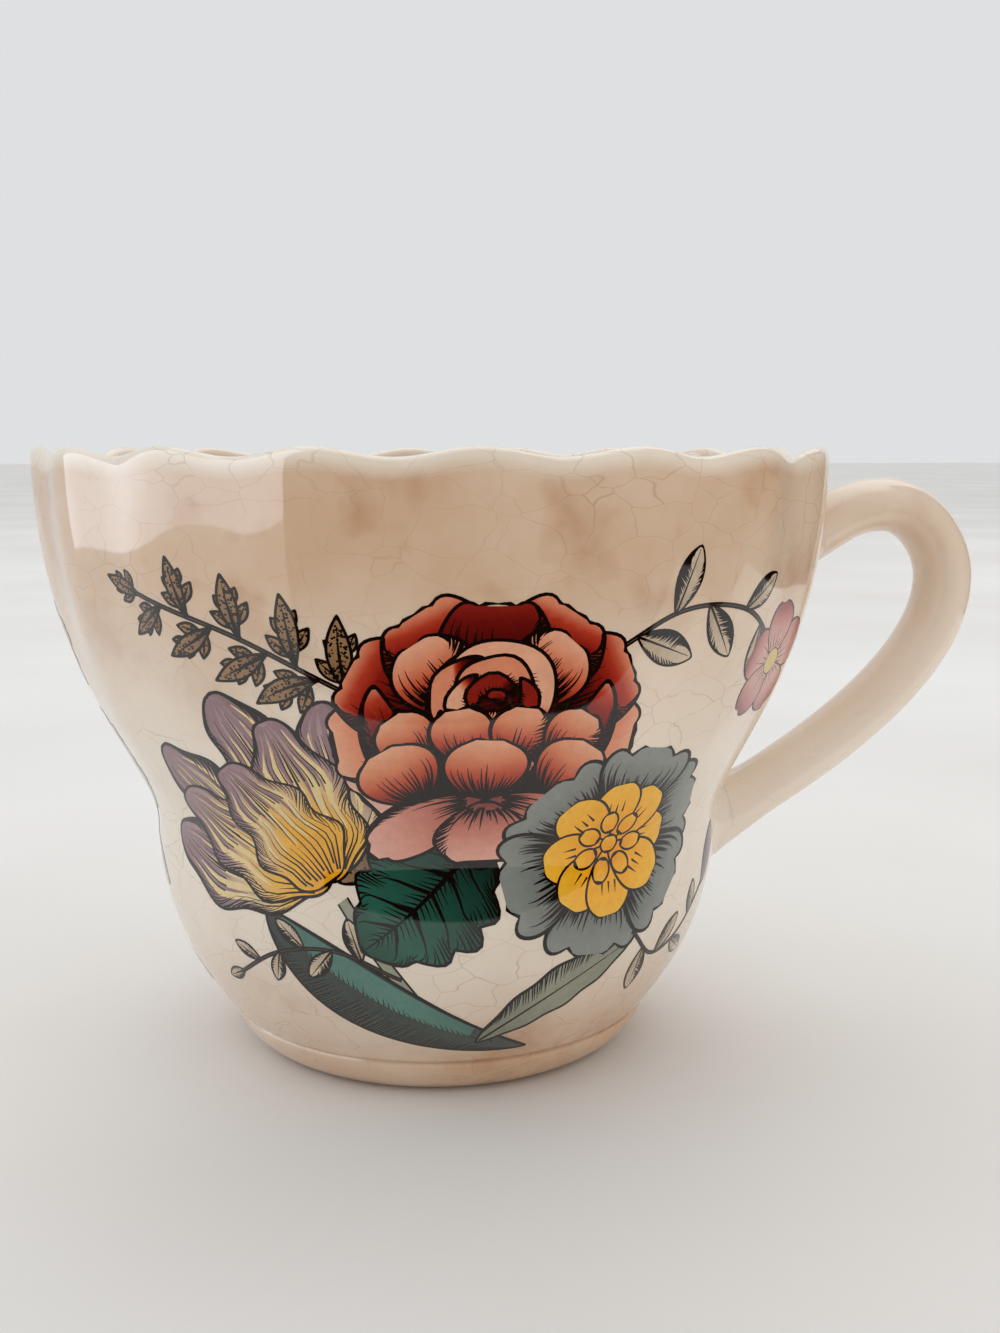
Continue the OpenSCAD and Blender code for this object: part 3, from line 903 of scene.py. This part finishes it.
def tulip(sheet, anchor):
    axis = 128
    plan = [(axis + o, 26.5 - abs(o) * 0.05, 9.2, -o, "tulip", 1.3, 0.7) for o in (44, -44, 15, -15)]  # an even fan
    plan += [(axis + o, 21.5, 10.5, -o, "tulipFront", 0.9, 0.65) for o in (26, -26)]
    plan += [(axis, 18.0, 11.5, 0, "tulipFront", 0.72, 0.6)]
    for angle, length, width, bend, colour, skew, full in plan:
        drawn = petal(sheet, "tulip", anchor, colour, base=(0, 0), angle=angle, length=length, width=width,
                      bend=bend, skew=skew, full=full, wave=0.13, waves=3, phase=rng.uniform(0, 6), across=0.3,
                      lean=rng.uniform(-0.08, 0.08), notch=0.8)
        for f in (-0.62, -0.3, 0.05, 0.38, 0.68):  # flames of yellow up into the mauve, and of mauve down again
            flowStroke(drawn, (0.3, f * 0.9), (rng.uniform(0.74, 0.9), f), (0.15, 1.0, 0.1), "#e9cf96")
            flowStroke(drawn, (0.97, f * 0.9 + 0.12), (rng.uniform(0.4, 0.55), f + 0.14), (0.3, 0.8, 0.1), "#94757b")
        baseHatch(drawn, 12, reach=(0.25, 0.6), start=0.03, width=0.17)
        baseHatch(drawn, 9, reach=(0.75, 0.92), start=0.55, width=0.14, spread=0.6)
        for side in (-1, 1):
            edgeHatch(drawn, 24, side, (0.3, 0.95), 0.3, 0.1, 0.15)
        if colour == "tulip":  # the tall petals are shaded along one edge
            edgeHatch(drawn, 30, -1, (0.4, 0.97), 0.62, 0.12, 0.24)
        flowStroke(drawn, (0.3, 0.1), (0.9, 0.0), (0.1, 0.35, 0.08))


def anemone(sheet, piece, anchor, size=1.0):
    for k in (0, 2, 4, 1, 3, 5):
        angle = 22 + k * 60 + rng.uniform(-5, 5)
        drawn = petal(sheet, piece, anchor, "anemone", base=(0, 0), angle=angle, length=14.6 * size,
                      line=0.46 * size ** 0.5, width=12.6 * size, skew=2.1, full=0.55, notch=3.2 * size, lobes=2,
                      lobe=2.3 * size, bend=rng.uniform(-8, 8))
        baseHatch(drawn, 26, reach=(0.58, 0.8), start=0.4, width=0.3 * size, spread=0.96)
    for k in range(8):
        angle = 8 + k * 45 + rng.uniform(-4, 4)
        drawn = petal(sheet, piece, anchor, "yolk", line=0.3 * size, base=(0, 0), angle=angle,
                      length=(8.6 + rng.uniform(-0.7, 0.5)) * size, width=6.0 * size, skew=1.5, full=0.5,
                      notch=0.7 * size)
        for f in (-0.3, 0.0, 0.3):
            flowStroke(drawn, (0.5, f), (0.68, f), (0.3, 0.2, 0.05))
    button = dict(line=0.28 * size, width=2.2 * size, skew=1.0, full=0.5)
    for k in range(7):
        turn = tau * k / 7
        base = (2.6 * size * cos(turn) * 0.62, 2.6 * size * sin(turn) * 0.62)
        petal(sheet, piece, anchor, "yolk", base=base, angle=degrees(turn), length=2.9 * size, **button)
    petal(sheet, piece, anchor, "yolk", base=(0, -0.95 * size), angle=90, length=2.2 * size, **button)


def littleFlower(sheet, piece, anchor, size=1.0):
    for k in (0, 2, 4, 1, 3):
        drawn = petal(sheet, piece, anchor, "pink", line=0.26, lineColour="#4a2422", base=(0, 0),
                      angle=20 + k * 72 + rng.uniform(-5, 5), length=7.4 * size, width=6.0 * size, skew=1.5,
                      full=0.6, notch=0.7 * size, bend=rng.uniform(-10, 10))
        baseHatch(drawn, 5, reach=(0.35, 0.6), start=0.2, width=0.12, colour="#6e3a36")
    ring = [onSheet(anchor, (1.5 * size * cos(a), 1.5 * size * sin(a)))
            for a in (tau * k / 20 for k in range(20))]
    addShape(sheet, piece, swollen(ring, 0.16), plain("#5c4030"))
    addShape(sheet, piece, ring, plain("#dcc27a"))


def lobedLeaf(sheet, piece, anchor, angle, length, width):
    rise = Vector((cos(radians(angle)), sin(radians(angle)))) * length
    parts = [(angle + 44, 0.46, 0.42, 0.14), (angle - 44, 0.44, 0.42, 0.2), (angle + 34, 0.34, 0.34, 0.42),
             (angle - 34, 0.32, 0.34, 0.5), (angle, 1.0, 0.66, 0.0)]
    for turn, reach, share, up in parts:
        drawn = petal(sheet, piece, anchor, "sprigLeaf", line=0.28, base=tuple(rise * up), angle=turn,
                      length=length * reach, width=width * share, skew=1.1, full=1.0, bend=rng.uniform(-24, 24))
        stipple(drawn, int(length * width * reach * share * 4.0))
        flowStroke(drawn, (0.0, 0.0), (0.85, 0.0), (0.55, 0.3, 0.06))


def inkLeaf(sheet, piece, anchor, angle, length, width, bend=0, colour="bareLeaf", count=14):
    drawn = petal(sheet, piece, anchor, colour, line=0.26, base=(0, 0), angle=angle, length=length, width=width,
                  bend=bend, skew=1.1, full=0.75)
    flowStroke(drawn, (0.0, 0.0), (0.95, 0.0), (0.3, 0.2, 0.05))
    count = int(count * length / 4.5)
    edgeHatch(drawn, count, 1, (0.12, 0.95), 0.95, 0.1, 0.25)
    edgeHatch(drawn, count // 2, -1, (0.2, 0.85), 0.4, 0.08, 0.16)


def stem(sheet, piece, places, width, colour=None):
    line = smoothPath([spot(*p) for p in places])
    stroke(sheet, piece, line, (width, width))
    if colour:
        stroke(sheet, piece, line, (width - 0.5, width - 0.5), colour)
    return line


def darkLeaf(sheet, anchor):
    drawn = petal(sheet, "dark_leaf", anchor, "darkLeaf", line=0.42, base=(0, 0), angle=226, length=18, width=14.5,
                  skew=0.95, full=0.7, teeth=5, tooth=0.13, bend=-14)
    for side in (-1, 1):
        for k in range(5):
            u = 0.14 + 0.15 * k
            flowStroke(drawn, (u, 0.0), (u + 0.16, 0.85 * side), (0.55, 0.3, 0.08))
        edgeHatch(drawn, 34, side, (0.08, 0.95), 0.38, 0.05, 0.2)
        for k in range(26):  # short strokes off the midrib
            u = 0.05 + 0.033 * k
            flowStroke(drawn, (u, 0.03 * side), (u + 0.05, rng.uniform(0.2, 0.4) * side), (0.24, 0.14, 0.04))
    flowStroke(drawn, (0.0, 0.0), (0.97, 0.0), (0.8, 0.5, 0.15))


def bladeLeaf(sheet, anchor):
    form = dict(base=(16.0, -8.6), angle=146, length=34, width=8.4, bend=-30, skew=1.2, full=0.7)
    drawn = petal(sheet, "blade_leaf", anchor, "bladeLow", line=0.4, **form)
    halfWash(drawn, "bladeHigh", (0.2, 0.95), (-0.9, -0.16))
    edgeHatch(drawn, 110, 1, (0.06, 0.97), 0.85, 0.03, 0.13)
    for k in range(44):
        u = 0.12 + 0.84 * k / 44
        flowStroke(drawn, (u, -0.16), (u + 0.02, -rng.uniform(0.24, 0.4)), (0.2, 0.12, 0.04))


def curledLeaf(sheet, anchor):
    drawn = petal(sheet, "curled_leaf", anchor, "paleLeaf", line=0.36, base=(-3.4, -6.2), angle=34, length=22.0,
                  width=5.6, bend=-30, skew=1.05, full=0.7, wave=0.06, waves=4)
    edgeHatch(drawn, 52, 1, (0.1, 0.95), 0.7, 0.05, 0.2)
    flowStroke(drawn, (0.02, 0.0), (0.96, -0.1), (0.4, 0.25, 0.1))


def calyx(sheet, anchor, angle, length, width):
    drawn = petal(sheet, "calyx_leaves", anchor, "brownLeaf", line=0.36, base=(0, 0), angle=angle, length=length,
                  width=width, skew=1.1, full=0.6, bend=20)
    for side in (-1, 1):
        edgeHatch(drawn, 34, side, (0.05, 0.96), 0.7, 0.04, 0.2)
    stipple(drawn, 60)


def sprig(sheet, piece, places, count, longest, leaf):  # leaves alternate at even gaps, shorter towards the tip
    line = stem(sheet, piece, places, 0.55, "#6f5b48")
    for k in range(count):
        t = 0.2 + 0.78 * k / (count - 1)
        i = min(int(t * (len(line) - 1)), len(line) - 2)
        along = line[i + 1] - line[i]
        away = 0 if k == count - 1 else 54 if k % 2 else -54
        angle = degrees(atan2(along.y, along.x)) + away
        place = (degrees(line[i].x / printLook["sheetRadius"]), alongArc(line[i].y)[1])
        length = longest * (1 - 0.38 * t)
        leaf(sheet, piece, place, angle, length, length * 0.44)


def frontBouquet():  # our own arrangement: a rose, a tulip on one side, an anemone on the other, and sprigs between
    sheet = []
    stem(sheet, "stems", [(-22, 26), (-14, 18), (-5, 11), (6, 7)], 1.7, "#9a9b87")
    bladeLeaf(sheet, (-18, 14))
    curledLeaf(sheet, (9.5, 13.4))
    sprig(sheet, "low_leaves", [(-12, 17), (-24, 20), (-36, 19), (-48, 15)], 6, 5.6, inkLeaf)
    sprig(sheet, "left_sprig", [(-10, 47), (-22, 52), (-34, 56), (-46, 59)], 9, 9.0, lobedLeaf)
    calyx(sheet, (-8, 34), 214, 11.0, 5.0)
    calyx(sheet, (12, 34), 292, 10.0, 5.0)
    darkLeaf(sheet, (2.0, 33.0))
    tulip(sheet, (-24, 28))
    sprig(sheet, "right_sprig", [(14, 52), (26, 57), (38, 57), (50, 52)], 6, 9.0, inkLeaf)
    rose(sheet, (2.0, 46.0))
    anemone(sheet, "anemone", (26, 31))
    littleFlower(sheet, "pink_flower", (52, 50))
    sprig(sheet, "bud_spray", [(34, 20), (42, 16), (51, 17), (60, 22)], 5, 6.4, inkLeaf)
    inkLeaf(sheet, "bud_spray", (60, 22), 70, 7.4, 3.8, 10, "bud", count=18)
    return sheet


def spraySheet(name, middle, flip):
    def at(dx, height):
        return (middle + flip * dx, height)

    def turned(angle):
        return angle if flip > 0 else 180 - angle
    sheet = []
    stems, leaves = name + "_stems", name + "_leaves"
    stem(sheet, stems, [at(4, 9), at(1.5, 18), at(-4, 28), at(-6, 38), at(-1, 47), at(8, 53)], 0.6, "#6f5b48")
    stem(sheet, stems, [at(-1, 22), at(8, 28), at(14, 36)], 0.5)
    for across, height, angle, length, width in [
            (2, 16, 205, 9, 3.4), (2.5, 13.5, 335, 9.5, 3.6), (-3, 26, 150, 9, 3.8), (6, 27, 320, 8, 3.6),
            (-6, 36, 190, 9.5, 4.0), (-5, 41, 128, 9, 3.8), (1.5, 49, 100, 7.5, 3.6)]:
        inkLeaf(sheet, leaves, at(across, height), turned(angle), length, width, flip * 14)
    inkLeaf(sheet, leaves, at(4, 51), turned(320), 8, 4.4, flip * 20, "bud")
    anemone(sheet, name + "_blossom", at(9, 37), 0.55)
    littleFlower(sheet, name + "_top_flower", at(9, 51.5), 0.62)
    return sheet


for shapes, slot, replaced, glaze in [
        (frontBouquet(), "bouquet_print", ["front_bouquet_print"], bouquetGlaze),
        (spraySheet("side", -90, 1), "spray_print", ["side_spray_print"], sprayGlaze),
        (spraySheet("back", -170, -1), "spray_print", ["back_spray_print"], sprayGlaze)]:
    print("shapes", len(shapes))
    printSheet(shapes, replaced, glaze, printLook)
print("prints made")

# ------- floor, room and lights

roomLook = {
    "floor": "#efedea", "floorShade": "#e4e1dd", "backdrop": "#f3f5f6",
    "roomBright": 0.82, "roomTop": 1.05, "roomDark": 0.42,
    "windowColour": "#eef4ff", "bounceColour": "#ffeddc",
    "aim": 0.04,           # the height that the lights point at
}
roomLights = {  # degrees round the cup, distance, height, size, power
    "window": (-82.0, 0.95, 0.48, (1.1, 0.9), 2.4),
    "ceiling": (160, 0.7, 1.1, (1.2, 1.2), 2.2),
    "fill": (60, 1.2, 0.9, (0.9, 0.9), 1.3),
    "bounce": (30, 0.6, 0.12, (0.6, 0.2), 0.5),
}
roomCards = {  # two opposite corners, and the glow
    "front_card": ((-0.068, -0.075, 0.0), (0.30, -0.075, 0.6), 0.0),
    "right_card": ((0.26, -0.075, 0.0), (0.26, 0.16, 0.6), 0.0),
    "window_card": ((-0.35, -0.36, 0.0), (-0.35, 0.14, 0.8), 2.9),
}


def makeFloor(look):
    mesh = bmesh.new()
    bmesh.ops.create_grid(mesh, x_segments=1, y_segments=1, size=8.0)
    material, tree, shader = newMaterial("whitePaintedBoard", {"Roughness": 0.6, "Specular IOR Level": 0.12})
    place = node(tree, "TexCoord").outputs["Object"]
    cloud = node(tree, "TexNoise", {"Vector": place, "Scale": 6.0, "Detail": 3.0}).outputs["Fac"]
    worn = node(tree, "ValToRGB", {"Fac": cloud}, [(0.3, 0.0), (0.7, 1.0)]).outputs[0]
    shade = node(tree, "Mix", {0: worn, 6: linear(look["floor"]), 7: linear(look["floorShade"])},
                 data_type="RGBA").outputs[2]
    tree.links.new(shade, shader.inputs["Base Color"])
    meshObject("floor", mesh, material)


def makeWorld(look):
    world = bpy.data.worlds.new("room")
    bpy.context.scene.world = world
    world.use_nodes = True
    tree = world.node_tree
    tree.nodes.clear()
    place = node(tree, "TexCoord").outputs["Generated"]
    parts = node(tree, "SeparateXYZ", {0: place})
    share = node(tree, "MapRange", {"Value": parts.outputs[1], "From Min": -0.45, "From Max": 0.15,
                                              "To Min": look["roomDark"], "To Max": look["roomBright"]},
                 interpolation_type="SMOOTHSTEP")
    above = node(tree, "MapRange", {"Value": parts.outputs[2], "From Min": 0.45, "From Max": 0.85},
                 interpolation_type="SMOOTHSTEP")
    strength = node(tree, "Mix", {0: above.outputs[0], 2: share.outputs[0], 3: look["roomTop"]},
                    data_type="FLOAT")
    seen = node(tree, "LightPath").outputs["Is Camera Ray"]  # the backdrop is pale on every side
    shown = node(tree, "Mix", {0: seen, 2: strength.outputs[0], 3: look["roomBright"]}, data_type="FLOAT")
    back = node(tree, "Background", {"Color": linear(look["backdrop"]), "Strength": shown.outputs[0]})
    node(tree, "OutputWorld", {"Surface": back.outputs[0]})


def addLight(name, angle, distance, height, size, power):
    data = bpy.data.lights.new(name, "AREA")
    data.shape = "RECTANGLE"
    data.size, data.size_y = size
    data.energy = power
    data.color = linear(roomLook.get(name + "Colour", "#ffffff"))[:3]
    lamp = bpy.data.objects.new(name, data)
    turn = radians(angle)
    lamp.location = (sin(turn) * distance, -cos(turn) * distance, height)
    lamp.rotation_euler = (Vector((0, 0, roomLook["aim"])) - lamp.location).to_track_quat("-Z", "Y").to_euler()
    lamp.visible_glossy = name + "Colour" not in roomLook  # the cards stand for the tinted lights in the gloss
    bpy.context.collection.objects.link(lamp)


def addCard(name, low, high, glow):
    mesh = bmesh.new()
    bmesh.ops.create_grid(mesh, x_segments=1, y_segments=1, size=0.5)
    for vert in mesh.verts:
        share = Vector((vert.co.x + 0.5, vert.co.x + 0.5, vert.co.y + 0.5))
        vert.co = Vector([a + (b - a) * t for a, b, t in zip(low, high, share)])
    card = meshObject(name, mesh, newMaterial("windowCard" if glow else "blackCard", {
        "Base Color": linear("#100e0d"), "Emission Color": linear(roomLook["windowColour"]),
        "Emission Strength": glow, "Roughness": 0.9, "Specular IOR Level": 0.0,
    })[0])
    card.visible_camera = card.visible_diffuse = card.visible_shadow = card.visible_transmission = False


makeFloor(roomLook)
makeWorld(roomLook)
# Only the gloss sees the cards: two dark ones for a dim room in front, and a bright one for the window
for name, (low, high, glow) in roomCards.items():
    addCard(name, low, high, glow)
for name, values in roomLights.items():
    addLight(name, *values)
bpy.context.scene.view_settings.view_transform = "Standard"
print("floor and lights made")
